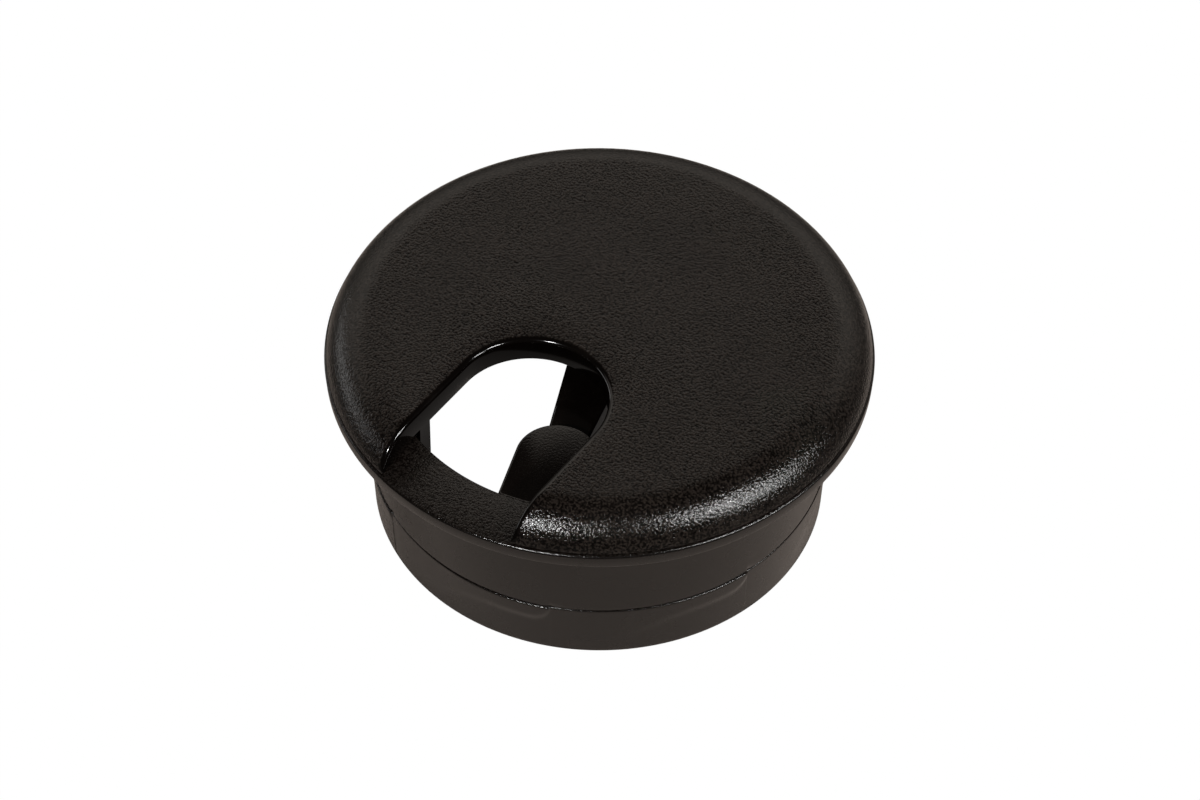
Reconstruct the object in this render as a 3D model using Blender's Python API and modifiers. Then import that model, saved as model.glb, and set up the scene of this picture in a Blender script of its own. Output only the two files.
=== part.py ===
"""Two-piece desk grommet: a flanged liner for a 60 mm hole and a cap with a U-shaped cable slot.

Metres, +Z up. The origin is the centre of the liner's lower edge. The slot opens towards -Y.
"""

import math

import bmesh
import bpy
from mathutils import Matrix

MM = 0.001
MERGE = 0.00001

# Sizes that set the others.
CAP_RADIUS = 34.95 * MM
FLANGE_RADIUS = 35.0 * MM
BORE_RADIUS = 27.4 * MM
TOTAL_HEIGHT = 29.8 * MM
SLOT_HALF_WIDTH = 9.75 * MM
SLOT_OFFSET = 0.35 * MM
RUNNING_GAP = 0.3 * MM

# Cap.
RIM_ROUNDING = 6.05 * MM
PLATE_THICKNESS = 3.5 * MM
POCKET_DEPTH = 1.3 * MM
POCKET_MARGIN = 0.5 * MM
SLOT_LIP = 1.5 * MM
SLOT_END_CENTRE = 15.5 * MM
RIM_FOOT_INNER_RADIUS = 32.4 * MM
SKIRT_THICKNESS = 1.9 * MM
SKIRT_DEPTH = 6.4 * MM
SKIRT_GAP_END = 69.0
BOSS_RADIUS = 2.2 * MM

# Liner.
FLANGE_TOP = 25.1 * MM
FLANGE_THICKNESS = 2.0 * MM
FLANGE_EDGE_ROUND = 0.25 * MM
FLANGE_DRAFT = 0.1 * MM
WALL_TOP_RADIUS = 29.75 * MM
WALL_LINE_RADIUS = 29.65 * MM
WALL_FOOT_RADIUS = 29.25 * MM
FOOT_ROUND = 0.3 * MM

# Grip ramps round the lower wall: each starts below the wall above the line and ends proud of it.
LINE_HEIGHT = 8.6 * MM
LEDGE_HEIGHT = 0.15 * MM
RAMPS = 7
FIRST_RAMP = 36.3
RAMP_DROP = 0.6
RAMP_START = -0.2 * MM
RAMP_END = 0.35 * MM
RAMP_FADE_HEIGHT = 4.5 * MM
RAMP_FADE = 0.65

# Tongue and arm, which run from the liner's flange to its middle.
TONGUE_TURN = 19.1
TONGUE_HALF_WIDTH = 5.25 * MM
TONGUE_END_CENTRE = 18.95 * MM
TONGUE_DROP = 0.12 * MM
TONGUE_THICKNESS = 1.4 * MM
ARM_HALF_WIDTH = 2.7 * MM
ARM_DEPTH = 3.2 * MM
ARM_OVERLAP = 0.1 * MM
PAD_RADIUS = 3.8 * MM
ROOT_OVERLAP = 1.0 * MM

TURNED_STEPS = 96
RAMP_STEPS = 13
ARC_STEPS = 24
RIM_STEPS = 9
SHARP_ANGLE = math.radians(35)

PLATE_UNDERSIDE = TOTAL_HEIGHT - PLATE_THICKNESS
POCKET_CEILING = PLATE_UNDERSIDE + POCKET_DEPTH
RIM_FOOT = FLANGE_TOP + RUNNING_GAP
SKIRT_RADIUS = BORE_RADIUS - RUNNING_GAP
SKIRT_INNER_RADIUS = SKIRT_RADIUS - SKIRT_THICKNESS
SKIRT_BOTTOM = PLATE_UNDERSIDE - SKIRT_DEPTH
POCKET_RADIUS = SKIRT_INNER_RADIUS - POCKET_MARGIN
TONGUE_TOP = FLANGE_TOP - TONGUE_DROP
TONGUE_BOTTOM = TONGUE_TOP - TONGUE_THICKNESS
ARM_TOP = TONGUE_BOTTOM + ARM_OVERLAP
ARM_BOTTOM = ARM_TOP - ARM_DEPTH
BEYOND = 3.0 * MM


def clear_scene():
    for thing in list(bpy.data.objects):
        bpy.data.objects.remove(thing, do_unlink=True)


def new_collection(name):
    collection = bpy.data.collections.new(name)
    bpy.context.scene.collection.children.link(collection)
    return collection


def plastic(name, colour, roughness):
    material = bpy.data.materials.new(name)
    material.use_nodes = True
    shader = material.node_tree.nodes["Principled BSDF"]
    shader.inputs["Base Color"].default_value = (*colour, 1.0)
    shader.inputs["Roughness"].default_value = roughness
    shader.inputs["Metallic"].default_value = 0.0
    return material


def new_object(name, mesh, collection):
    thing = bpy.data.objects.new(name, mesh)
    collection.objects.link(thing)
    return thing


def as_cutter(thing):
    thing.hide_render = True
    thing.display_type = "WIRE"
    return thing


def arc(centre, radius, start, end, steps):
    """Points along an arc, from the start angle to the end angle in degrees."""
    points = []
    for i in range(steps + 1):
        angle = math.radians(start + (end - start) * i / steps)
        points.append((centre[0] + radius * math.cos(angle), centre[1] + radius * math.sin(angle)))
    return points


def turned(name, profile, collection, closed):
    """Turns a profile of (radius, height) points, listed down the outer side, about the Z axis."""
    mesh = bpy.data.meshes.new(name)
    edges = [(i, i + 1) for i in range(len(profile) - 1)]
    if closed:
        edges.append((len(profile) - 1, 0))
    mesh.from_pydata([(radius, 0.0, height) for radius, height in profile], edges, [])
    thing = new_object(name, mesh, collection)
    screw = thing.modifiers.new("turn", "SCREW")
    screw.axis = "Z"
    screw.angle = math.tau
    screw.steps = TURNED_STEPS
    screw.render_steps = TURNED_STEPS
    screw.use_merge_vertices = True
    screw.merge_threshold = MERGE
    screw.use_smooth_shade = True
    return thing


def prism(name, outline, bottom, top, collection, turn=0.0):
    """Extrudes a flat outline of (x, y) points from bottom to top, turned about Z by some degrees."""
    mesh = bpy.data.meshes.new(name)
    shape = bmesh.new()
    base = shape.faces.new([shape.verts.new((x, y, bottom)) for x, y in outline])
    raised = bmesh.ops.extrude_face_region(shape, geom=[base])["geom"]
    corners = [item for item in raised if isinstance(item, bmesh.types.BMVert)]
    bmesh.ops.translate(shape, vec=(0.0, 0.0, top - bottom), verts=corners)
    bmesh.ops.recalc_face_normals(shape, faces=shape.faces)
    bmesh.ops.rotate(shape, matrix=Matrix.Rotation(math.radians(turn), 3, "Z"), verts=shape.verts)
    shape.to_mesh(mesh)
    shape.free()
    return new_object(name, mesh, collection)


def combine(target, tool, operation):
    boolean = target.modifiers.new(tool.name, "BOOLEAN")
    boolean.operation = operation
    boolean.solver = "EXACT"
    boolean.object = tool


def finish_part(thing, material):
    """Adds the material, applies the cuts, welds the corners and shades the round faces smooth."""
    thing.data.materials.append(material)
    with_modifiers = bpy.context.evaluated_depsgraph_get()
    mesh = bpy.data.meshes.new_from_object(thing.evaluated_get(with_modifiers))
    shape = bmesh.new()
    shape.from_mesh(mesh)
    bmesh.ops.remove_doubles(shape, verts=shape.verts, dist=MERGE)
    shape.to_mesh(mesh)
    shape.free()
    thing.modifiers.clear()
    thing.data = mesh
    mesh.shade_smooth()
    mesh.set_sharp_from_angle(angle=SHARP_ANGLE)


def slot_outline(margin, reach):
    """The slot's U shape, open towards -Y, grown by a margin, with its mouth at a distance from the axis."""
    half_width = SLOT_HALF_WIDTH + margin
    end = arc((SLOT_OFFSET, -SLOT_END_CENTRE), half_width, 0.0, 180.0, ARC_STEPS)
    return [(SLOT_OFFSET + half_width, -reach)] + end + [(SLOT_OFFSET - half_width, -reach)]


def tongue_outline():
    end = arc((0.0, -TONGUE_END_CENTRE), TONGUE_HALF_WIDTH, 0.0, 180.0, ARC_STEPS)
    root = BORE_RADIUS + ROOT_OVERLAP
    return [(TONGUE_HALF_WIDTH, -root)] + end + [(-TONGUE_HALF_WIDTH, -root)]


def arm_outline():
    """A bar that runs under the tongue and widens from the tongue's tip to a round pad on the axis."""
    root = BORE_RADIUS + ROOT_OVERLAP
    tongue_tip = TONGUE_END_CENTRE - TONGUE_HALF_WIDTH
    pad = arc((0.0, 0.0), PAD_RADIUS, -10.0, 190.0, ARC_STEPS)
    right = [(ARM_HALF_WIDTH, -root), (ARM_HALF_WIDTH, -tongue_tip)]
    left = [(-x, y) for x, y in reversed(right)]
    return right + pad + left


def sector_outline(start, end, radius):
    """A wedge from the axis, between two directions in degrees."""
    return [(0.0, 0.0)] + arc((0.0, 0.0), radius, start, end, ARC_STEPS)


def cap_profile():
    """Half section of the cap's disc: flat top, rounded rim, foot of the rim and flat underside."""
    centre = (CAP_RADIUS - RIM_ROUNDING, TOTAL_HEIGHT - RIM_ROUNDING)
    end = math.degrees(math.asin((RIM_FOOT - centre[1]) / RIM_ROUNDING))
    rim = arc(centre, RIM_ROUNDING, 90.0, end, RIM_STEPS)
    foot = [
        (RIM_FOOT_INNER_RADIUS, RIM_FOOT),
        (RIM_FOOT_INNER_RADIUS - (PLATE_UNDERSIDE - RIM_FOOT), PLATE_UNDERSIDE),
        (0.0, PLATE_UNDERSIDE),
    ]
    return [(0.0, TOTAL_HEIGHT)] + rim + foot


def make_cap(parts, tools, material):
    cap = turned("cap", cap_profile(), parts, closed=False)

    skirt_top = PLATE_UNDERSIDE + POCKET_DEPTH / 2
    skirt = turned("skirt_ring", [
        (SKIRT_RADIUS, skirt_top),
        (SKIRT_RADIUS, SKIRT_BOTTOM),
        (SKIRT_INNER_RADIUS, SKIRT_BOTTOM),
        (SKIRT_INNER_RADIUS, skirt_top),
    ], tools, closed=True)
    gap = prism("skirt_gap", sector_outline(-90.0, SKIRT_GAP_END - 90.0, CAP_RADIUS),
                SKIRT_BOTTOM - BEYOND, PLATE_UNDERSIDE + BEYOND, tools)
    combine(skirt, as_cutter(gap), "DIFFERENCE")

    pocket = turned("underside_pocket", [
        (0.0, POCKET_CEILING),
        (POCKET_RADIUS, POCKET_CEILING),
        (POCKET_RADIUS, PLATE_UNDERSIDE - BEYOND),
        (0.0, PLATE_UNDERSIDE - BEYOND),
    ], tools, closed=False)
    lip = prism("slot_lip", slot_outline(SLOT_LIP, CAP_RADIUS), PLATE_UNDERSIDE - 2 * BEYOND,
                TOTAL_HEIGHT, tools)
    combine(pocket, as_cutter(lip), "DIFFERENCE")

    boss = turned("centre_boss", [
        (0.0, POCKET_CEILING + PLATE_THICKNESS / 4),
        (BOSS_RADIUS, POCKET_CEILING + PLATE_THICKNESS / 4),
        (BOSS_RADIUS, ARM_TOP + RUNNING_GAP),
        (0.0, ARM_TOP + RUNNING_GAP),
    ], tools, closed=False)
    slot = prism("slot_cutter", slot_outline(0.0, CAP_RADIUS + BEYOND), SKIRT_BOTTOM - BEYOND,
                 TOTAL_HEIGHT + BEYOND, tools)

    combine(cap, as_cutter(pocket), "DIFFERENCE")
    combine(cap, as_cutter(skirt), "UNION")
    combine(cap, as_cutter(boss), "UNION")
    combine(cap, as_cutter(slot), "DIFFERENCE")
    finish_part(cap, material)


def ramp_directions():
    """Directions round the liner in degrees, each with how far along its own grip ramp it is, 0 to 1."""
    pitch = 360.0 / RAMPS
    directions = []
    for ramp in range(RAMPS):
        for i in range(RAMP_STEPS + 1):
            along = i / RAMP_STEPS
            directions.append((FIRST_RAMP + pitch * ramp + (pitch - RAMP_DROP) * along, along))
    return directions


def ring(radius, height, ramp_share=0.0):
    """A ring of points at one height, with a share of the grip ramps' rise added to its radius."""
    points = []
    for direction, along in ramp_directions():
        angle = math.radians(direction)
        reach = radius + ramp_share * (RAMP_START + (RAMP_END - RAMP_START) * along)
        points.append((reach * math.cos(angle), reach * math.sin(angle), height))
    return points


def lofted(name, rings, collection):
    """Joins rings of equally many points, and the last ring to the first, into one closed wall."""
    mesh = bpy.data.meshes.new(name)
    shape = bmesh.new()
    rows = [[shape.verts.new(point) for point in points] for points in rings]
    count = len(rings[0])
    for row, following in zip(rows, rows[1:] + rows[:1]):
        for i in range(count):
            j = (i + 1) % count
            shape.faces.new((row[i], row[j], following[j], following[i]))
    bmesh.ops.recalc_face_normals(shape, faces=shape.faces)
    shape.to_mesh(mesh)
    shape.free()
    return new_object(name, mesh, collection)


def liner_rings():
    """Rings down the outside of the liner, from the flange's top to its foot, and up the bore."""
    flange_bottom = FLANGE_TOP - FLANGE_THICKNESS
    line_to_foot = WALL_LINE_RADIUS - WALL_FOOT_RADIUS
    return [
        ring(FLANGE_RADIUS - FLANGE_EDGE_ROUND, FLANGE_TOP),
        ring(FLANGE_RADIUS, FLANGE_TOP - FLANGE_EDGE_ROUND),
        ring(FLANGE_RADIUS - FLANGE_DRAFT, flange_bottom),
        ring(WALL_TOP_RADIUS, flange_bottom),
        ring(WALL_LINE_RADIUS, LINE_HEIGHT),
        ring(WALL_LINE_RADIUS, LINE_HEIGHT - LEDGE_HEIGHT, 1.0),
        ring(WALL_FOOT_RADIUS + line_to_foot * RAMP_FADE_HEIGHT / LINE_HEIGHT, RAMP_FADE_HEIGHT, RAMP_FADE),
        ring(WALL_FOOT_RADIUS, FOOT_ROUND),
        ring(WALL_FOOT_RADIUS - FOOT_ROUND, 0.0),
        ring(BORE_RADIUS, 0.0),
        ring(BORE_RADIUS, FLANGE_TOP),
    ]


def make_liner(parts, tools, material):
    liner = lofted("liner", liner_rings(), parts)
    tongue = prism("tongue", tongue_outline(), TONGUE_BOTTOM, TONGUE_TOP, tools, TONGUE_TURN)
    arm = prism("arm", arm_outline(), ARM_BOTTOM, ARM_TOP, tools, TONGUE_TURN)
    combine(liner, as_cutter(tongue), "UNION")
    combine(liner, as_cutter(arm), "UNION")
    finish_part(liner, material)


def main():
    clear_scene()
    parts = new_collection("desk_grommet")
    tools = new_collection("cutters")
    make_liner(parts, tools, plastic("liner_plastic", (0.017, 0.015, 0.013), 0.42))
    make_cap(parts, tools, plastic("cap_plastic", (0.019, 0.016, 0.014), 0.55))


main()
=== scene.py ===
"""Looks of the two-piece desk grommet: moulded black plastic, on a pale floor under soft studio light.

Lengths are in millimetres until a mesh is made, and the frame is in metres. Angles are in degrees.
"""

import math

import bmesh
import bpy
from mathutils import Matrix, Vector


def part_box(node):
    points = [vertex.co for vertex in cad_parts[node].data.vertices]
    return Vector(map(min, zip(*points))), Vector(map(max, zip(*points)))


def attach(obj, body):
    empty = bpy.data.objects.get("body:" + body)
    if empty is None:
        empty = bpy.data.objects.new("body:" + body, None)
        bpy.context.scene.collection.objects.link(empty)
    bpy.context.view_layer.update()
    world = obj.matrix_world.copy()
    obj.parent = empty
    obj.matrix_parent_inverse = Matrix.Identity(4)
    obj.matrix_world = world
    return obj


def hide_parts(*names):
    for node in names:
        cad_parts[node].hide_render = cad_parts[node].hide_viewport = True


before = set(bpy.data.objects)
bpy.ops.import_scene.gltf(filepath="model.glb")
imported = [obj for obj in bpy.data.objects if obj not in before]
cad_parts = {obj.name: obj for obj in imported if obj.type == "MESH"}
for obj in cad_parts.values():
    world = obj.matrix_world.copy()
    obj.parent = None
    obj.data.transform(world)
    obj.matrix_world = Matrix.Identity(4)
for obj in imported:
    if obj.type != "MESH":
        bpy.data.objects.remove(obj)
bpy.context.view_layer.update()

MM = 0.001
# Points of a mesh that are nearer than this are merged.
MERGE_DISTANCE = 1e-4
# Edges with a larger angle than this between their faces stay sharp.
SHARP_ANGLE = 32

# The camera: where it looks, from which side, how high, how far and how long its lens is.
VIEW_TARGET = Vector((0.088, 0.062, 15.26))
VIEW_AZIMUTH = 35.0
VIEW_ELEVATION = 47.647
VIEW_ROLL = 0.469
VIEW_DISTANCE = 600
LENS_MM = 139.88
SENSOR_MM = 36.0

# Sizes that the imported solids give.
CAP_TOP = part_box("cap")[1].z / MM
FLANGE_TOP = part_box("liner")[1].z / MM
FLANGE_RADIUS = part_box("liner")[1].x / MM

# Liner: flange, bore and wall. The flange narrows by its draft towards its lower edge.
BORE_RADIUS = 27.4
BORE_FOOT_ROUND = 0.2
FLANGE_THICKNESS = 2.0
FLANGE_DRAFT = 0.1
FLANGE_FOOT_ROUND = 0.2
EDGE_ROUND = 0.38
WALL_FILLET = 0.3
WALL_TOP_DROP = 1.0
WALL_TOP_RADIUS = 29.75
WALL_LINE_RADIUS = 29.65
WALL_FOOT_RADIUS = 29.25
FOOT_ROUND = 0.3
# The angle on the foot's rounding at which it meets the wall.
FOOT_ROUND_START = -22

# The fine line round the wall: a groove under the upper wall, and a rounded shoulder below the groove.
LINE_HEIGHT = 8.6
GROOVE_DEPTH = 0.3
GROOVE_HEIGHT = 0.28
GROOVE_ROOF = 0.04
SHOULDER_ROUND = 0.2
# The share of the groove's depth that is lost along each grip ramp.
GROOVE_FADE = 0.8

# Grip ramps below the line. Shares of a ramp's length: it is sunk as far as flush and proud past it, and
# turns up to the line from its nose on. The drop is the angle between a ramp's end and the next's start.
RAMPS = 7
RAMP_PITCH = 360.0 / RAMPS
FIRST_RAMP = 36.3
RAMP_DROP = 0.16
RAMP_START = -0.06
RAMP_END = 0.2
RAMP_FLUSH = 0.3
RAMP_NOSE = 0.9
RAMP_DEPTH = 2.5
RAMP_BLEND = 0.7
# How the ramps' lower edge sweeps up from near the foot: its extent, and where along a ramp it is over.
SWEEP = 16
SWEEP_END = 0.68
SWEEP_POWER = 1.5

# Faint slanted dents in the wall above the ramps' ends.
DENT_DEPTH = 0.16
DENT_WIDTH = 0.2
DENT_HEIGHT = 2.4
DENT_LEAN = 1.3

# Tongue and arm.
TONGUE_TURN = 19.1
TONGUE_HALF_WIDTH = 5.25
TONGUE_END_CENTRE = 18.95
TONGUE_TOP = FLANGE_TOP - 0.12
TONGUE_THICKNESS = 1.4
TONGUE_ROUND = 0.3
ARM_OVERLAP = 0.1
ARM_TOP = TONGUE_TOP - TONGUE_THICKNESS + ARM_OVERLAP
ARM_DEPTH = 3.2
ARM_HALF_WIDTH = 2.7
PAD_RADIUS = 3.8
ROOT_RADIUS = BORE_RADIUS + 1.0

# Cap: plate, rim and slot.
RUNNING_GAP = 0.3
CAP_RADIUS = FLANGE_RADIUS - 0.05
RIM_ROUNDING = 6.05
RIM_FLAT_RADIUS = CAP_RADIUS - RIM_ROUNDING
RIM_FOOT = FLANGE_TOP + RUNNING_GAP
RIM_FOOT_INNER_RADIUS = 32.4
CAP_FOOT_RADIUS = RIM_FLAT_RADIUS + math.sqrt(RIM_ROUNDING ** 2 - (RIM_FOOT - CAP_TOP + RIM_ROUNDING) ** 2)
PLATE_UNDERSIDE = CAP_TOP - 3.5
SLOT_HALF_WIDTH = 9.75
SLOT_OFFSET = 0.35
SLOT_END_CENTRE = 15.5
SLOT_TOP_ROUND = 0.7
SLOT_FOOT_ROUND = 0.15
SLOT_LIP = 1.5
# The slot's straight walls stop at this share of their length, just short of the cap's outer edge.
MOUTH_SHARE = 0.996
# The slot's edges are rounded in full where the cap is at least this thick.
FULL_ROUND_THICKNESS = 1.5

# Cap: pocket, skirt and boss under the plate.
POCKET_DEPTH = 1.3
POCKET_CEILING = PLATE_UNDERSIDE + POCKET_DEPTH
POCKET_MARGIN = 0.5
SKIRT_THICKNESS = 1.9
SKIRT_DEPTH = 6.4
SKIRT_RADIUS = BORE_RADIUS - RUNNING_GAP
SKIRT_INNER_RADIUS = SKIRT_RADIUS - SKIRT_THICKNESS
SKIRT_TOP = PLATE_UNDERSIDE + POCKET_DEPTH / 2
SKIRT_BOTTOM = PLATE_UNDERSIDE - SKIRT_DEPTH
SKIRT_OUTER_ROUND = 0.6
SKIRT_INNER_ROUND = 0.3
SKIRT_GAP_END = 69.0
# The box that clears the skirt out of the slot.
SKIRT_CUT_LEFT = SLOT_OFFSET - SLOT_HALF_WIDTH - 0.02
SKIRT_CUT_RIGHT = 1.0
SKIRT_CUT_BACK = -5.0
BOSS_RADIUS = 2.2
BOSS_OVERLAP = 0.8
# How far a cutting shape reaches past what it cuts.
BEYOND = 3

# The grain of the plastics: noise waves to the size of a pebble, the noise that its lowest and highest
# places have, and the heights between which its painted shade and highlight (dark in its hollows, light
# on its ridges) and its roughness change.
PEBBLE_WAVES = 1.5
PEBBLE_RANGE = (0.32, 0.68)
RIDGE_LIGHT_RANGE = (0.3, 0.75)
HOLLOW_RANGE = (0.2, 0.8)
# Their fine unevenness and broad drift. Scales are per metre.
FINE_SCALE = 5200
FINE_HARSHNESS = 0.6
BROAD_SCALE = 160
BROAD_RANGE = (0.3, 0.7)
BROAD_SHADE = 0.12
BROAD_ROUGHNESS = 0.03
PLASTIC_IOR = 1.46
# Height of the fine unevenness of the surfaces without grain.
SMOOTH_RELIEF = 0.0015
# The tongue's share of the flange's grain and of its lighter ridges, which leaves the tongue and arm
# smoother and darker with painted shade from the cap above, and the width inside the bore over which
# it is reached.
TONGUE_GRAIN_AND_LIGHT_SHARE = 0.1
TONGUE_FADE = 0.1
# The smooth strip round the slot ends, and the full grain begins, this far from the slot's wall.
STRIP_WIDTH = 0.55
GRAIN_START = 0.8

# Surroundings, in metres. Directions are azimuths.
FRONT_DIRECTION = VIEW_AZIMUTH - 90
BACK_DIRECTION = VIEW_AZIMUTH + 90
FLOOR_SIZE = 3.0
FLOOR_ROUGHNESS = 0.9
# Painted pool of light on the floor: pale near the grommet and dark further out.
FLOOR_PAINTED_POOL = (0.56, 0.48, 0.425)
FLOOR_PAINTED_DARK = (0.05, 0.044, 0.038)
FLOOR_POOL_FADE = (0.06, 0.1)
# A painted glow on the floor inside the bore, which lights the bore from below.
BORE_GLOW = 0.12
BORE_GLOW_FADE = 1 * MM
BORE_GLOW_COLOUR = (1.0, 0.93, 0.88)
BACKDROP_RADIUS = 4.0
ROOM_COLOUR = (1.0, 0.92, 0.83)
ROOM_LIGHT = 0.03
WALL_LIGHT = 0.28
STRIPE_LIGHT = 0.6
# Elevations between which the lit wall ends, and between which its brighter upper stripe begins.
WALL_EDGE = (42, 39)
STRIPE_EDGE = (20, 32)
# How nearly a direction points to the back where the lit wall begins and where it is full.
WALL_SIDES = (0.3, 0.62)

# Softboxes: name, azimuth from the front, elevation, width and height, radiance.
SOFTBOX_DISTANCE = 0.7
SOFTBOXES = (
    ("right softbox", 49, 42, (0.18, 0.06), 66.0),
    ("far right softbox", 68, 27, (0.16, 0.07), 38.0),
    ("left softbox", -28, 41, (0.12, 0.07), 105.0),
    ("low left softbox", -112, 9, (0.5, 0.12), 1.9),
)


def add_camera():
    """Looks along +Y at azimuth 0, and its place turns about Z with the azimuth."""
    tilt = Matrix.Rotation(math.radians(90 - VIEW_ELEVATION), 4, "X")
    turn = Matrix.Rotation(math.radians(VIEW_AZIMUTH), 4, "Z")
    roll = Matrix.Rotation(math.radians(VIEW_ROLL), 4, "Z")
    aim = turn @ tilt @ roll
    data = bpy.data.cameras.new("camera")
    data.lens = LENS_MM
    data.sensor_width = SENSOR_MM
    camera = bpy.data.objects.new("camera", data)
    bpy.context.scene.collection.objects.link(camera)
    place = Matrix.Translation(VIEW_TARGET * MM)
    camera.matrix_world = place @ aim @ Matrix.Translation((0, 0, VIEW_DISTANCE * MM))
    bpy.context.scene.camera = camera


add_camera()


# Points and shares.

def sine(degrees):
    return math.sin(math.radians(degrees))


def polar(radius, degrees):
    angle = math.radians(degrees)
    return radius * math.cos(angle), radius * math.sin(angle)


def between(start, end, share):
    return start + (end - start) * share


def smooth_step(low, high, value):
    share = max(0.0, min(1.0, (value - low) / (high - low)))
    return share * share * (3 - 2 * share)


def arc(centre, radius, start, end, steps):
    """Points along an arc, from the start angle to the end angle."""
    points = []
    for i in range(steps + 1):
        x, y = polar(radius, between(start, end, i / steps))
        points.append((centre[0] + x, centre[1] + y))
    return points


# Making and joining shapes.

def new_piece(name, shape):
    """Turns a bmesh whose points are in millimetres into an object in metres."""
    bmesh.ops.remove_doubles(shape, verts=shape.verts, dist=MERGE_DISTANCE)
    bmesh.ops.recalc_face_normals(shape, faces=shape.faces)
    bmesh.ops.scale(shape, vec=(MM, MM, MM), verts=shape.verts)
    mesh = bpy.data.meshes.new(name)
    shape.to_mesh(mesh)
    shape.free()
    piece = bpy.data.objects.new(name, mesh)
    bpy.context.scene.collection.objects.link(piece)
    return piece


def bridge(shape, rows, closed):
    """Faces between neighbouring rows of points, each a closed ring. Closed joins the last to the first."""
    corners = [[shape.verts.new(point) for point in row] for row in rows]
    count = len(corners[0])
    pairs = list(zip(corners, corners[1:]))
    if closed:
        pairs.append((corners[-1], corners[0]))
    for row, following in pairs:
        for i in range(count):
            j = (i + 1) % count
            shape.faces.new((row[i], row[j], following[j], following[i]))
    return corners


def bridge_with_ends(shape, rows):
    """Faces between neighbouring rows of points, and a face on the first row and on the last."""
    corners = bridge(shape, rows, closed=False)
    shape.faces.new(corners[0])
    shape.faces.new(corners[-1])


def turned(name, profile, steps):
    """Turns a closed section of (radius, height) points about the Z axis."""
    rows = []
    for i in range(steps):
        turn = 360 * i / steps
        rows.append([(*polar(radius, turn), height) for radius, height in profile])
    shape = bmesh.new()
    bridge(shape, rows, closed=True)
    return new_piece(name, shape)


def slab(name, outline, bottom, top, edge_round=0.0, turn=0.0):
    """A flat piece whose upper edge can be rounded. The outline is a function of how far it grows."""
    steps = 5 if edge_round else 0
    rows = [[(x, y, bottom) for x, y in outline(0.0)]]
    for i in range(steps + 1):
        angle = math.radians(90 * i / steps) if steps else 0.0
        inset = edge_round * (1 - math.cos(angle))
        height = top - edge_round * (1 - math.sin(angle))
        rows.append([(x, y, height) for x, y in outline(-inset)])
    shape = bmesh.new()
    bridge_with_ends(shape, rows)
    turning = Matrix.Rotation(math.radians(turn), 3, "Z")
    bmesh.ops.rotate(shape, matrix=turning, verts=shape.verts)
    return new_piece(name, shape)


def combine(target, tool, operation):
    """Applies a boolean of the tool to the target and removes the tool."""
    boolean = target.modifiers.new(tool.name, "BOOLEAN")
    boolean.operation = operation
    boolean.solver = "EXACT"
    boolean.object = tool
    evaluated = target.evaluated_get(bpy.context.evaluated_depsgraph_get())
    target.data = bpy.data.meshes.new_from_object(evaluated)
    target.modifiers.clear()
    bpy.data.objects.remove(tool, do_unlink=True)


def finish_piece(piece, node, body, material):
    """Shades the piece, gives it its material and makes it stand for its CAD node."""
    piece.data.shade_smooth()
    piece.data.set_sharp_from_angle(angle=math.radians(SHARP_ANGLE))
    piece.data.materials.clear()
    piece.data.materials.append(material)
    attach(piece, body)
    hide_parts(node)


# Liner.

def ramp_directions():
    """Directions round the liner, each with how far along its own grip ramp it is, 0 to 1."""
    body_steps, nose_steps = 24, 20
    shares = [RAMP_NOSE * i / body_steps for i in range(body_steps)]
    shares += [between(RAMP_NOSE, 1.0, i / nose_steps) for i in range(nose_steps + 1)]
    directions = []
    for ramp in range(RAMPS):
        start = FIRST_RAMP + RAMP_PITCH * ramp
        directions += [(start + (RAMP_PITCH - RAMP_DROP) * share, share) for share in shares]
    return directions


def ramp_rise(along, depth):
    """How far the wall stands out from its plain taper, along a grip ramp and at a depth below the line.

    A ramp starts a little sunk and ends proud. Its soft lower edge runs near the foot at first, rises to
    a short way below the line, and turns up to the line at the ramp's end.
    """
    sunk = RAMP_START * max(0.0, 1 - along / RAMP_FLUSH)
    proud = RAMP_END * max(0.0, (along - RAMP_FLUSH) / (1 - RAMP_FLUSH))
    nose = max(0.0, (along - RAMP_NOSE) / (1 - RAMP_NOSE))
    reach = RAMP_DEPTH * math.sqrt(max(0.0, 1 - nose ** 2))
    reach += SWEEP * max(0.0, SWEEP_END - along) ** SWEEP_POWER
    return (sunk + proud) * (1 - smooth_step(reach - RAMP_BLEND, reach + RAMP_BLEND, depth))


def dent(direction, height):
    """How deep the wall above the line is dented in a direction and at a height."""
    above = height - LINE_HEIGHT
    if not 0 <= above < DENT_HEIGHT:
        return 0.0
    past_end = (direction - FIRST_RAMP + RAMP_PITCH / 2) % RAMP_PITCH - RAMP_PITCH / 2
    across = math.radians(past_end) * WALL_LINE_RADIUS - DENT_LEAN * above / DENT_HEIGHT
    fade = 1 - above / DENT_HEIGHT
    return DENT_DEPTH * fade * math.exp(-(across / DENT_WIDTH) ** 2)


def liner_ring(radius, height):
    """A round ring, dented where the wall above the line is."""
    points = []
    for direction, _ in ramp_directions():
        points.append((*polar(radius - dent(direction, height), direction), height))
    return points


def groove_ring(height):
    """A ring at the bottom of the groove under the line, which is deepest where a ramp starts."""
    points = []
    for direction, along in ramp_directions():
        depth = GROOVE_DEPTH * (1 - GROOVE_FADE * along)
        points.append((*polar(WALL_LINE_RADIUS - depth, direction), height))
    return points


def ramp_ring(inset, height):
    """A ring on the wall below the line, set back from the ramps' own surface."""
    points = []
    for direction, along in ramp_directions():
        plain = between(WALL_FOOT_RADIUS, WALL_LINE_RADIUS, height / LINE_HEIGHT)
        rise = ramp_rise(along, LINE_HEIGHT - GROOVE_HEIGHT - height)
        points.append((*polar(plain + rise - inset, direction), height))
    return points


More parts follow.
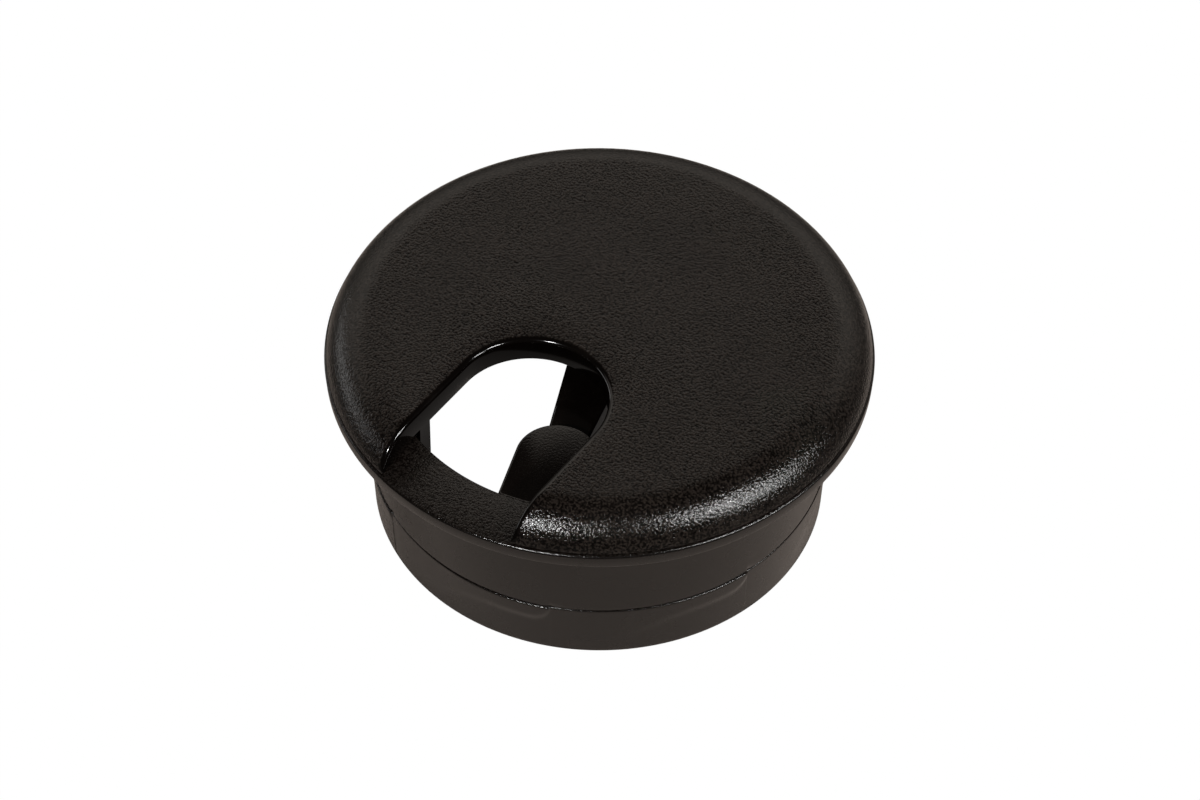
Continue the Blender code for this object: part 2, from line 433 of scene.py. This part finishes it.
def flange_rings():
    """Rings from the bore's upper edge over the flange to the fillet at the top of the wall."""
    bottom = FLANGE_TOP - FLANGE_THICKNESS
    upper = FLANGE_TOP - EDGE_ROUND
    foot_centre = FLANGE_RADIUS - (FLANGE_DRAFT + FLANGE_FOOT_ROUND)
    section = arc((BORE_RADIUS + EDGE_ROUND, upper), EDGE_ROUND, 180, 90, 4)
    section += arc((FLANGE_RADIUS - EDGE_ROUND, upper), EDGE_ROUND, 90, 5, 5)
    section += arc((foot_centre, bottom + FLANGE_FOOT_ROUND), FLANGE_FOOT_ROUND, 0, -90, 4)
    section += arc((WALL_TOP_RADIUS + WALL_FILLET, bottom - WALL_FILLET), WALL_FILLET, 90, 180, 4)
    return [liner_ring(radius, height) for radius, height in section]


def upper_wall_rings():
    """Rings down the wall to the line, the closer together the nearer they are to it."""
    steps, crowding = 16, 1.6
    top = FLANGE_TOP - FLANGE_THICKNESS - WALL_TOP_DROP
    rings = []
    for i in range(steps + 1):
        share = i / steps
        height = between(top, LINE_HEIGHT, 1 - (1 - share) ** crowding)
        rings.append(liner_ring(between(WALL_TOP_RADIUS, WALL_LINE_RADIUS, share), height))
    return rings


def lower_wall_rings():
    """Rings into the groove under the line, round the shoulder and down the grip ramps."""
    steps = 26
    groove_foot = LINE_HEIGHT - GROOVE_HEIGHT
    rings = [groove_ring(LINE_HEIGHT - GROOVE_ROOF), groove_ring(groove_foot)]
    for x, z in arc((-SHOULDER_ROUND, -SHOULDER_ROUND), SHOULDER_ROUND, 80, 0, 4):
        rings.append(ramp_ring(-x, groove_foot + z))
    for i in range(1, steps + 1):
        rings.append(ramp_ring(0.0, between(groove_foot - SHOULDER_ROUND, FOOT_ROUND, i / steps)))
    return rings


def foot_rings():
    """Rings round the foot's outer edge and its inner edge, at the lower end of the bore."""
    section = arc((WALL_FOOT_RADIUS - FOOT_ROUND, FOOT_ROUND), FOOT_ROUND,
                  FOOT_ROUND_START, -90, 3)
    section += arc((BORE_RADIUS + BORE_FOOT_ROUND, BORE_FOOT_ROUND), BORE_FOOT_ROUND, -90, -180, 3)
    return [liner_ring(radius, height) for radius, height in section]


def tongue_outline(grow):
    half_width = TONGUE_HALF_WIDTH + grow
    end = arc((0.0, -TONGUE_END_CENTRE), half_width, 0, 180, 40)
    return [(half_width, -ROOT_RADIUS)] + end + [(-half_width, -ROOT_RADIUS)]


def arm_outline(grow):
    """A bar that runs under the tongue and widens from the tongue's tip to a round pad on the axis."""
    half_width = ARM_HALF_WIDTH + grow
    tongue_tip = TONGUE_END_CENTRE - TONGUE_HALF_WIDTH
    pad = arc((0.0, 0.0), PAD_RADIUS + grow, -10, 190, 48)
    right = [(half_width, -ROOT_RADIUS), (half_width, -tongue_tip)]
    left = [(-x, y) for x, y in reversed(right)]
    return right + pad + left


def make_liner():
    shape = bmesh.new()
    bridge(shape, flange_rings() + upper_wall_rings() + lower_wall_rings() + foot_rings(), closed=True)
    liner = new_piece("liner_moulding", shape)
    tongue = slab("tongue", tongue_outline, TONGUE_TOP - TONGUE_THICKNESS, TONGUE_TOP,
                  TONGUE_ROUND, TONGUE_TURN)
    arm = slab("arm", arm_outline, ARM_TOP - ARM_DEPTH, ARM_TOP, TONGUE_ROUND, TONGUE_TURN)
    combine(liner, tongue, "UNION")
    combine(liner, arm, "UNION")
    return liner


# Cap.

def rim_height(radius):
    """Height of the cap's upper surface: flat, then the quarter-round rim."""
    past = max(0.0, radius - RIM_FLAT_RADIUS)
    return CAP_TOP - RIM_ROUNDING + math.sqrt(RIM_ROUNDING ** 2 - past ** 2)


def underside_height(radius):
    """Height of the plate's underside: flat, then a short slope down to the foot of the rim."""
    slope = PLATE_UNDERSIDE - RIM_FOOT
    sloping = PLATE_UNDERSIDE - (radius - RIM_FOOT_INNER_RADIUS + slope)
    return min(PLATE_UNDERSIDE, max(RIM_FOOT, sloping))


def round_over(distance, radius):
    """How far a rounded edge falls below its face at a distance from the corner."""
    if distance >= radius:
        return 0.0
    return radius - math.sqrt(radius ** 2 - (radius - distance) ** 2)


def round_share(radius):
    """How fully the slot's edges are rounded at a radius. They are less so where the rim is thin."""
    return min(1.0, (rim_height(radius) - underside_height(radius)) / FULL_ROUND_THICKNESS)


def upper_point(place, distance):
    """The point on the cap's upper surface over a place at a distance from the slot's wall."""
    radius = min(place.length, CAP_FOOT_RADIUS)
    fall = round_share(radius) * round_over(distance, SLOT_TOP_ROUND)
    return (place.x, place.y, rim_height(radius) - fall)


def lower_point(place, distance):
    """The point on the cap's underside below a place at a distance from the slot's wall."""
    radius = min(place.length, CAP_FOOT_RADIUS)
    rise = round_share(radius) * round_over(distance, SLOT_FOOT_ROUND)
    return (place.x, place.y, underside_height(radius) + rise)


def slot_stations():
    """Places along the slot's wall, from the left corner of its mouth round its end to the right corner.

    Each is how far down a straight wall it is (0 at the round end), the side, and the angle on the end.
    """
    wall_steps, end_steps, crowding = 30, 96, 1.7
    wall = [MOUTH_SHARE * (1 - (1 - i / wall_steps) ** crowding) for i in range(1, wall_steps + 1)]
    left = [(share, -1, 180.0) for share in reversed(wall)]
    end = [(0.0, 0, 180.0 - 180.0 * i / end_steps) for i in range(end_steps + 1)]
    right = [(share, 1, 0.0) for share in wall]
    return left + end + right


def slot_point(station, distance):
    """The place at a distance outside the slot's wall at one of its stations."""
    share, side, angle = station
    half_width = SLOT_HALF_WIDTH + distance
    if side == 0:
        x, y = polar(half_width, angle)
        return Vector((SLOT_OFFSET + x, y - SLOT_END_CENTRE))
    x = SLOT_OFFSET + side * half_width
    mouth = -math.sqrt(CAP_FOOT_RADIUS ** 2 - x ** 2)
    return Vector((x, between(-SLOT_END_CENTRE, mouth, share)))


def rim_point(station):
    """The place on the cap's outer edge that belongs to one of the slot wall's stations."""
    share, side, angle = station
    centre = Vector((SLOT_OFFSET, -SLOT_END_CENTRE))
    if side == 0:
        away = Vector(polar(1.0, angle))
        back = centre.dot(away)
        along = -back + math.sqrt(back ** 2 - centre.dot(centre) + CAP_FOOT_RADIUS ** 2)
        return centre + away * along
    level = math.degrees(math.asin(-SLOT_END_CENTRE / CAP_FOOT_RADIUS))
    corner = SLOT_HALF_WIDTH + SLOT_TOP_ROUND + side * SLOT_OFFSET
    mouth = math.degrees(math.acos(corner / CAP_FOOT_RADIUS))
    x, y = polar(CAP_FOOT_RADIUS, between(level, -mouth, share))
    return Vector((side * x, y))


def on_ray(start, end, radius):
    """The place between start and end at a radius from the axis, or start where it is already past it."""
    if start.length >= radius:
        return start.copy()
    step = end - start
    a, b, c = step.dot(step), start.dot(step), start.dot(start) - radius ** 2
    return start + step * min(1.0, (-b + math.sqrt(b * b - a * c)) / a)


def slot_wall_points(station):
    """Points round the slot wall's lower edge and up round its upper edge."""
    foot_steps, top_steps = 3, 6
    points = []
    for i in range(foot_steps + 1):
        distance = SLOT_FOOT_ROUND * (1 - sine(90 * i / foot_steps))
        points.append(lower_point(slot_point(station, distance), distance))
    for i in range(top_steps + 1):
        distance = SLOT_TOP_ROUND * (1 - math.cos(math.radians(90 * i / top_steps)))
        points.append(upper_point(slot_point(station, distance), distance))
    return points


def upper_surface_points(station):
    """Points from the slot's rounded edge over the flat of the cap and down its rim."""
    flat_steps, rim_steps = 7, 18
    start = slot_point(station, SLOT_TOP_ROUND)
    outer = rim_point(station)
    flat_end = on_ray(start, outer, RIM_FLAT_RADIUS)
    points = []
    for i in range(1, flat_steps + 1):
        points.append(upper_point(start.lerp(flat_end, i / flat_steps), SLOT_TOP_ROUND))
    first = math.asin(min(1.0, max(0.0, flat_end.length - RIM_FLAT_RADIUS) / RIM_ROUNDING))
    last = math.asin((CAP_FOOT_RADIUS - RIM_FLAT_RADIUS) / RIM_ROUNDING)
    for i in range(1, rim_steps + 1):
        radius = RIM_FLAT_RADIUS + RIM_ROUNDING * math.sin(between(first, last, i / rim_steps))
        points.append(upper_point(on_ray(start, outer, radius), SLOT_TOP_ROUND))
    return points


def underside_points(station):
    """The two points at the foot and at the top of the slope inside the rim."""
    start = slot_point(station, SLOT_FOOT_ROUND)
    outer = rim_point(station)
    points = []
    for radius in (RIM_FOOT_INNER_RADIUS, RIM_FOOT_INNER_RADIUS - (PLATE_UNDERSIDE - RIM_FOOT)):
        points.append(lower_point(on_ray(start, outer, radius), SLOT_FOOT_ROUND))
    return points


def make_disc():
    """The cap's plate and rim, as closed sections round from one corner of the slot to the other."""
    sections = []
    for station in slot_stations():
        section = slot_wall_points(station) + upper_surface_points(station)
        sections.append(section + underside_points(station))
    shape = bmesh.new()
    bridge_with_ends(shape, sections)
    return new_piece("cap_moulding", shape)


# The cutting shapes and the boss have no rounded edge, so these outlines don't depend on how far they grow.

def pocket_outline(_):
    return arc((0.0, 0.0), SKIRT_INNER_RADIUS - POCKET_MARGIN, 0, 356, 89)


def lip_outline(_):
    """The slot's outline, wider by the lip that is left round it."""
    half_width = SLOT_HALF_WIDTH + SLOT_LIP
    end = arc((SLOT_OFFSET, -SLOT_END_CENTRE), half_width, 0, 180, 64)
    return [(SLOT_OFFSET + half_width, -CAP_RADIUS)] + end + [(SLOT_OFFSET - half_width, -CAP_RADIUS)]


def skirt_gap_outline(_):
    return [(0.0, 0.0)] + arc((0.0, 0.0), CAP_RADIUS, -90, SKIRT_GAP_END - 90, 60)


def skirt_cut_outline(_):
    return [(SKIRT_CUT_LEFT, -CAP_RADIUS), (SKIRT_CUT_RIGHT, -CAP_RADIUS),
            (SKIRT_CUT_RIGHT, SKIRT_CUT_BACK), (SKIRT_CUT_LEFT, SKIRT_CUT_BACK)]


def boss_outline(_):
    return arc((0.0, 0.0), BOSS_RADIUS, 0, 352.5, 47)


def make_pocket():
    """The hollow in the plate's underside, inside the skirt and clear of the slot's lip."""
    pocket = slab("pocket", pocket_outline, PLATE_UNDERSIDE - BEYOND, POCKET_CEILING)
    lip = slab("lip", lip_outline, PLATE_UNDERSIDE - 2 * BEYOND, POCKET_CEILING + BEYOND)
    combine(pocket, lip, "DIFFERENCE")
    return pocket


def make_skirt():
    """The ring that runs in the bore, with a gap for the tongue and clear of the slot."""
    section = [(SKIRT_RADIUS, SKIRT_TOP)]
    section += arc((SKIRT_RADIUS - SKIRT_OUTER_ROUND, SKIRT_BOTTOM + SKIRT_OUTER_ROUND),
                   SKIRT_OUTER_ROUND, 0, -90, 5)
    section += arc((SKIRT_INNER_RADIUS + SKIRT_INNER_ROUND, SKIRT_BOTTOM + SKIRT_INNER_ROUND),
                   SKIRT_INNER_ROUND, -90, -180, 3)
    section += [(SKIRT_INNER_RADIUS, SKIRT_TOP)]
    skirt = turned("skirt", section, 240)
    for name, outline in (("skirt_gap", skirt_gap_outline), ("skirt_cut", skirt_cut_outline)):
        cut = slab(name, outline, SKIRT_BOTTOM - BEYOND, SKIRT_TOP + BEYOND)
        combine(skirt, cut, "DIFFERENCE")
    return skirt


def make_cap():
    cap = make_disc()
    combine(cap, make_pocket(), "DIFFERENCE")
    combine(cap, make_skirt(), "UNION")
    boss = slab("boss", boss_outline, ARM_TOP + RUNNING_GAP, POCKET_CEILING + BOSS_OVERLAP)
    combine(cap, boss, "UNION")
    return cap


# Nodes.

def value_node(tree, kind, **settings):
    node = tree.nodes.new(kind)
    for name, value in settings.items():
        setattr(node, name, value)
    return node


def new_material(name):
    """A material with its node tree and its shader."""
    material = bpy.data.materials.new(name)
    material.use_nodes = True
    return material, material.node_tree, material.node_tree.nodes["Principled BSDF"]


def math_node(tree, operation, first, second=None, clamp=False):
    node = value_node(tree, "ShaderNodeMath", operation=operation, use_clamp=clamp)
    for socket, value in zip(node.inputs, (first, second)):
        if value is None:
            continue
        if isinstance(value, (int, float)):
            socket.default_value = value
        else:
            tree.links.new(value, socket)
    return node.outputs[0]


def ramp_node(tree, source, low, high, to_low=0.0, to_high=1.0):
    node = value_node(tree, "ShaderNodeMapRange", clamp=True)
    node.inputs["From Min"].default_value = low
    node.inputs["From Max"].default_value = high
    node.inputs["To Min"].default_value = to_low
    node.inputs["To Max"].default_value = to_high
    tree.links.new(source, node.inputs["Value"])
    return node.outputs["Result"]


def value_mix(tree, share, low, high):
    node = value_node(tree, "ShaderNodeMix", data_type="FLOAT")
    tree.links.new(share, node.inputs["Factor"])
    tree.links.new(low, node.inputs["A"])
    tree.links.new(high, node.inputs["B"])
    return node.outputs["Result"]


def colour_mix(tree, share, low, high):
    node = value_node(tree, "ShaderNodeMix", data_type="RGBA")
    tree.links.new(share, node.inputs["Factor"])
    node.inputs["A"].default_value = (*low, 1)
    node.inputs["B"].default_value = (*high, 1)
    return node.outputs["Result"]


def object_coords(tree):
    return value_node(tree, "ShaderNodeTexCoord").outputs["Object"]


def noise(tree, coords, scale, detail, roughness=0.5):
    node = value_node(tree, "ShaderNodeTexNoise")
    node.inputs["Scale"].default_value = scale
    node.inputs["Detail"].default_value = detail
    node.inputs["Roughness"].default_value = roughness
    tree.links.new(coords, node.inputs["Vector"])
    return node.outputs["Fac"]


def vector_length(tree, vector):
    node = value_node(tree, "ShaderNodeVectorMath", operation="LENGTH")
    tree.links.new(vector, node.inputs[0])
    return node.outputs["Value"]


def split_vector(tree, vector):
    """The outputs X, Y and Z of a vector."""
    node = value_node(tree, "ShaderNodeSeparateXYZ")
    tree.links.new(vector, node.inputs[0])
    return node.outputs


# Plastics.

def pebbles(tree, coords, size):
    """Height of a leather-like moulded grain whose pebbles are about a size in millimetres, 0 to 1."""
    swell = noise(tree, coords, PEBBLE_WAVES / (size * MM), 2)
    return ramp_node(tree, swell, *PEBBLE_RANGE)


def upward_share(tree, low, high):
    """0 where the surface stands upright or faces down, and 1 where it faces up."""
    normal = value_node(tree, "ShaderNodeNewGeometry").outputs["True Normal"]
    return ramp_node(tree, split_vector(tree, normal)["Z"], low, high)


def flange_grain_bore_shade(tree, coords):
    """1 on the flange and a low share on the tongue and arm, which are nearly smooth and darker with
    painted shade, as the share also takes away the grain's lighter ridges.
    """
    flat = value_node(tree, "ShaderNodeVectorMath", operation="MULTIPLY")
    flat.inputs[1].default_value = (1, 1, 0)
    tree.links.new(coords, flat.inputs[0])
    radius = vector_length(tree, flat.outputs["Vector"])
    fade_start = (BORE_RADIUS - TONGUE_FADE) * MM
    return ramp_node(tree, radius, fade_start, BORE_RADIUS * MM, TONGUE_GRAIN_AND_LIGHT_SHARE, 1.0)


def outside_slot(tree, coords):
    """0 on the smooth strip round the slot and 1 past it."""
    place = split_vector(tree, coords)
    behind = math_node(tree, "MAXIMUM", math_node(tree, "ADD", place["Y"], SLOT_END_CENTRE * MM), 0.0)
    aside = math_node(tree, "SUBTRACT", place["X"], SLOT_OFFSET * MM)
    squares = math_node(tree, "ADD", math_node(tree, "MULTIPLY", aside, aside),
                        math_node(tree, "MULTIPLY", behind, behind))
    distance = math_node(tree, "SQRT", squares)
    strip_end = (SLOT_HALF_WIDTH + STRIP_WIDTH) * MM
    grain_start = (SLOT_HALF_WIDTH + GRAIN_START) * MM
    return ramp_node(tree, distance, strip_end, grain_start)


def add_bump(tree, shader, height, distance):
    bump = value_node(tree, "ShaderNodeBump")
    bump.inputs["Distance"].default_value = distance
    bump.inputs["Strength"].default_value = 1.0
    tree.links.new(height, bump.inputs["Height"])
    tree.links.new(bump.outputs["Normal"], shader.inputs["Normal"])


def grained_plastic(name, plain_and_pit_shade, ridge_highlight, grain_size, grain_depth, upward, roughness, grain_and_ridge_light_mask):
    """Black plastic with pebbled grain where it faces up, and a smoother moulded finish elsewhere.

    The first colour is the plastic's plain colour where it is smooth, and painted shade in the hollows of
    the grain; the second is painted highlight on its ridges. Upward is how far a surface
    faces up where the grain starts and where it is full. The roughness is that of walls, of smooth places
    that face up, of the ridges and of the hollows. The grain mask is a function of the tree and its
    coordinates that gives the share of the grain's depth, and of its painted ridge highlight, at a place.
    """
    material, tree, shader = new_material(name)
    coords = object_coords(tree)
    facing_up = upward_share(tree, *upward)
    # The mask scales the grain and its painted ridge highlight together; its low share inside the bore is
    # painted shade on the tongue and arm.
    grain_and_ridge_light = math_node(tree, "MULTIPLY", facing_up, grain_and_ridge_light_mask(tree, coords))
    grain = pebbles(tree, coords, grain_size)
    fine = noise(tree, coords, FINE_SCALE, 3, FINE_HARSHNESS)
    broad = noise(tree, coords, BROAD_SCALE, 3)

    relief = math_node(tree, "ADD", math_node(tree, "MULTIPLY", grain, grain_and_ridge_light),
                       math_node(tree, "MULTIPLY", fine, SMOOTH_RELIEF / grain_depth))
    add_bump(tree, shader, relief, grain_depth * MM)

    # Painted light: the grain's ridges take the lighter colour as painted highlight, its hollows the darker
    # as painted shade.
    ridges = math_node(tree, "MULTIPLY", ramp_node(tree, grain, *RIDGE_LIGHT_RANGE), grain_and_ridge_light)
    drift = ramp_node(tree, broad, *BROAD_RANGE, -BROAD_SHADE, BROAD_SHADE)
    shade = math_node(tree, "ADD", ridges, drift, clamp=True)
    tree.links.new(colour_mix(tree, shade, plain_and_pit_shade, ridge_highlight), shader.inputs["Base Color"])

    wall, smooth, ridge_top, pit = roughness
    plain = ramp_node(tree, facing_up, 0.0, 1.0, wall, smooth)
    hollow = ramp_node(tree, grain, *HOLLOW_RANGE, pit, ridge_top)
    uneven = ramp_node(tree, broad, *BROAD_RANGE, -BROAD_ROUGHNESS, BROAD_ROUGHNESS)
    spread = math_node(tree, "ADD", value_mix(tree, grain_and_ridge_light, plain, hollow), uneven)
    tree.links.new(spread, shader.inputs["Roughness"])
    shader.inputs["IOR"].default_value = PLASTIC_IOR
    return material


def cap_plastic():
    return grained_plastic(
        "cap_plastic",
        # Plain colour that is also painted shade in the grain's hollows, then painted highlight on its
        # ridges.
        plain_and_pit_shade=(0.0012, 0.0007, 0.0005), ridge_highlight=(0.0165, 0.0128, 0.0105),
        grain_size=0.46, grain_depth=0.033, upward=(0.12, 0.24),
        roughness=(0.12, 0.12, 0.1, 0.16), grain_and_ridge_light_mask=outside_slot)


def liner_plastic():
    return grained_plastic(
        "liner_plastic",
        # Plain colour that is also painted shade in the grain's hollows, then painted highlight on its
        # ridges.
        plain_and_pit_shade=(0.0025, 0.0016, 0.0012), ridge_highlight=(0.012, 0.0095, 0.008),
        grain_size=0.42, grain_depth=0.038, upward=(0.6, 0.9),
        roughness=(0.27, 0.1, 0.1, 0.16), grain_and_ridge_light_mask=flange_grain_bore_shade)


# Surroundings.

def add_floor():
    """A sheet that lights the grommet from below: a painted pool of light, pale near it and dark further
    out, and a painted glow in the bore.
    """
    bpy.ops.mesh.primitive_plane_add(size=FLOOR_SIZE, location=(0, 0, 0))
    floor = bpy.context.object
    floor.name = "floor"
    material, tree, shader = new_material("floor")
    shader.inputs["Roughness"].default_value = FLOOR_ROUGHNESS
    distance = vector_length(tree, object_coords(tree))
    # Painted pool of light: the floor's colour darkens away from the grommet.
    far = ramp_node(tree, distance, *FLOOR_POOL_FADE)
    tree.links.new(colour_mix(tree, far, FLOOR_PAINTED_POOL, FLOOR_PAINTED_DARK), shader.inputs["Base Color"])
    # Painted glow: the floor inside the bore gives off light.
    bore = BORE_RADIUS * MM
    glow = ramp_node(tree, distance, bore, bore - BORE_GLOW_FADE, 0.0, BORE_GLOW)
    tree.links.new(glow, shader.inputs["Emission Strength"])
    shader.inputs["Emission Color"].default_value = (*BORE_GLOW_COLOUR, 1)
    floor.data.materials.append(material)
    floor.visible_camera = False
    return floor


def add_backdrop():
    """A white surround that only the camera sees."""
    bpy.ops.mesh.primitive_uv_sphere_add(segments=64, ring_count=32, radius=BACKDROP_RADIUS)
    backdrop = bpy.context.object
    backdrop.name = "backdrop"
    material, _, shader = new_material("backdrop")
    shader.inputs["Base Color"].default_value = (0, 0, 0, 1)
    shader.inputs["Emission Color"].default_value = (1, 1, 1, 1)
    shader.inputs["Emission Strength"].default_value = 1.0
    backdrop.data.materials.append(material)
    backdrop.visible_diffuse = False
    backdrop.visible_glossy = False
    backdrop.visible_transmission = False
    backdrop.visible_volume_scatter = False
    backdrop.visible_shadow = False
    return backdrop


def add_world():
    """A dim room with a softly lit wall behind the grommet, brighter in a stripe along its top."""
    world = bpy.data.worlds.new("studio")
    bpy.context.scene.world = world
    world.use_nodes = True
    tree = world.node_tree
    direction = value_node(tree, "ShaderNodeTexCoord").outputs["Generated"]
    rise = split_vector(tree, direction)["Z"]
    below_edge = ramp_node(tree, rise, *map(sine, WALL_EDGE))
    wall = ramp_node(tree, rise, *map(sine, STRIPE_EDGE), WALL_LIGHT, WALL_LIGHT + STRIPE_LIGHT)
    back = value_node(tree, "ShaderNodeVectorMath", operation="DOT_PRODUCT")
    back.inputs[1].default_value = (*polar(1.0, BACK_DIRECTION), 0.0)
    tree.links.new(direction, back.inputs[0])
    behind = ramp_node(tree, back.outputs["Value"], *WALL_SIDES)
    light = math_node(tree, "MULTIPLY", behind, math_node(tree, "MULTIPLY", below_edge, wall))
    background = tree.nodes["Background"]
    background.inputs["Color"].default_value = (*ROOM_COLOUR, 1)
    tree.links.new(math_node(tree, "ADD", light, ROOM_LIGHT), background.inputs["Strength"])


def add_softbox(name, azimuth, elevation, size, radiance):
    """A rectangular light on the side of an azimuth, with its size and the radiance of its face."""
    data = bpy.data.lights.new(name, "AREA")
    data.shape = "RECTANGLE"
    data.size, data.size_y = size
    data.energy = radiance * math.pi * size[0] * size[1]
    light = bpy.data.objects.new(name, data)
    bpy.context.scene.collection.objects.link(light)
    across, up = polar(1.0, elevation)
    away = Vector((*polar(across, azimuth), up))
    light.location = away * SOFTBOX_DISTANCE
    light.rotation_euler = away.to_track_quat("Z", "Y").to_euler()


finish_piece(make_liner(), "liner", "liner", liner_plastic())
finish_piece(make_cap(), "cap", "cap", cap_plastic())
floor = add_floor()
backdrop = add_backdrop()
add_world()
bpy.context.scene.view_settings.view_transform = "Standard"
for name, from_front, elevation, size, radiance in SOFTBOXES:
    add_softbox(name, FRONT_DIRECTION + from_front, elevation, size, radiance)
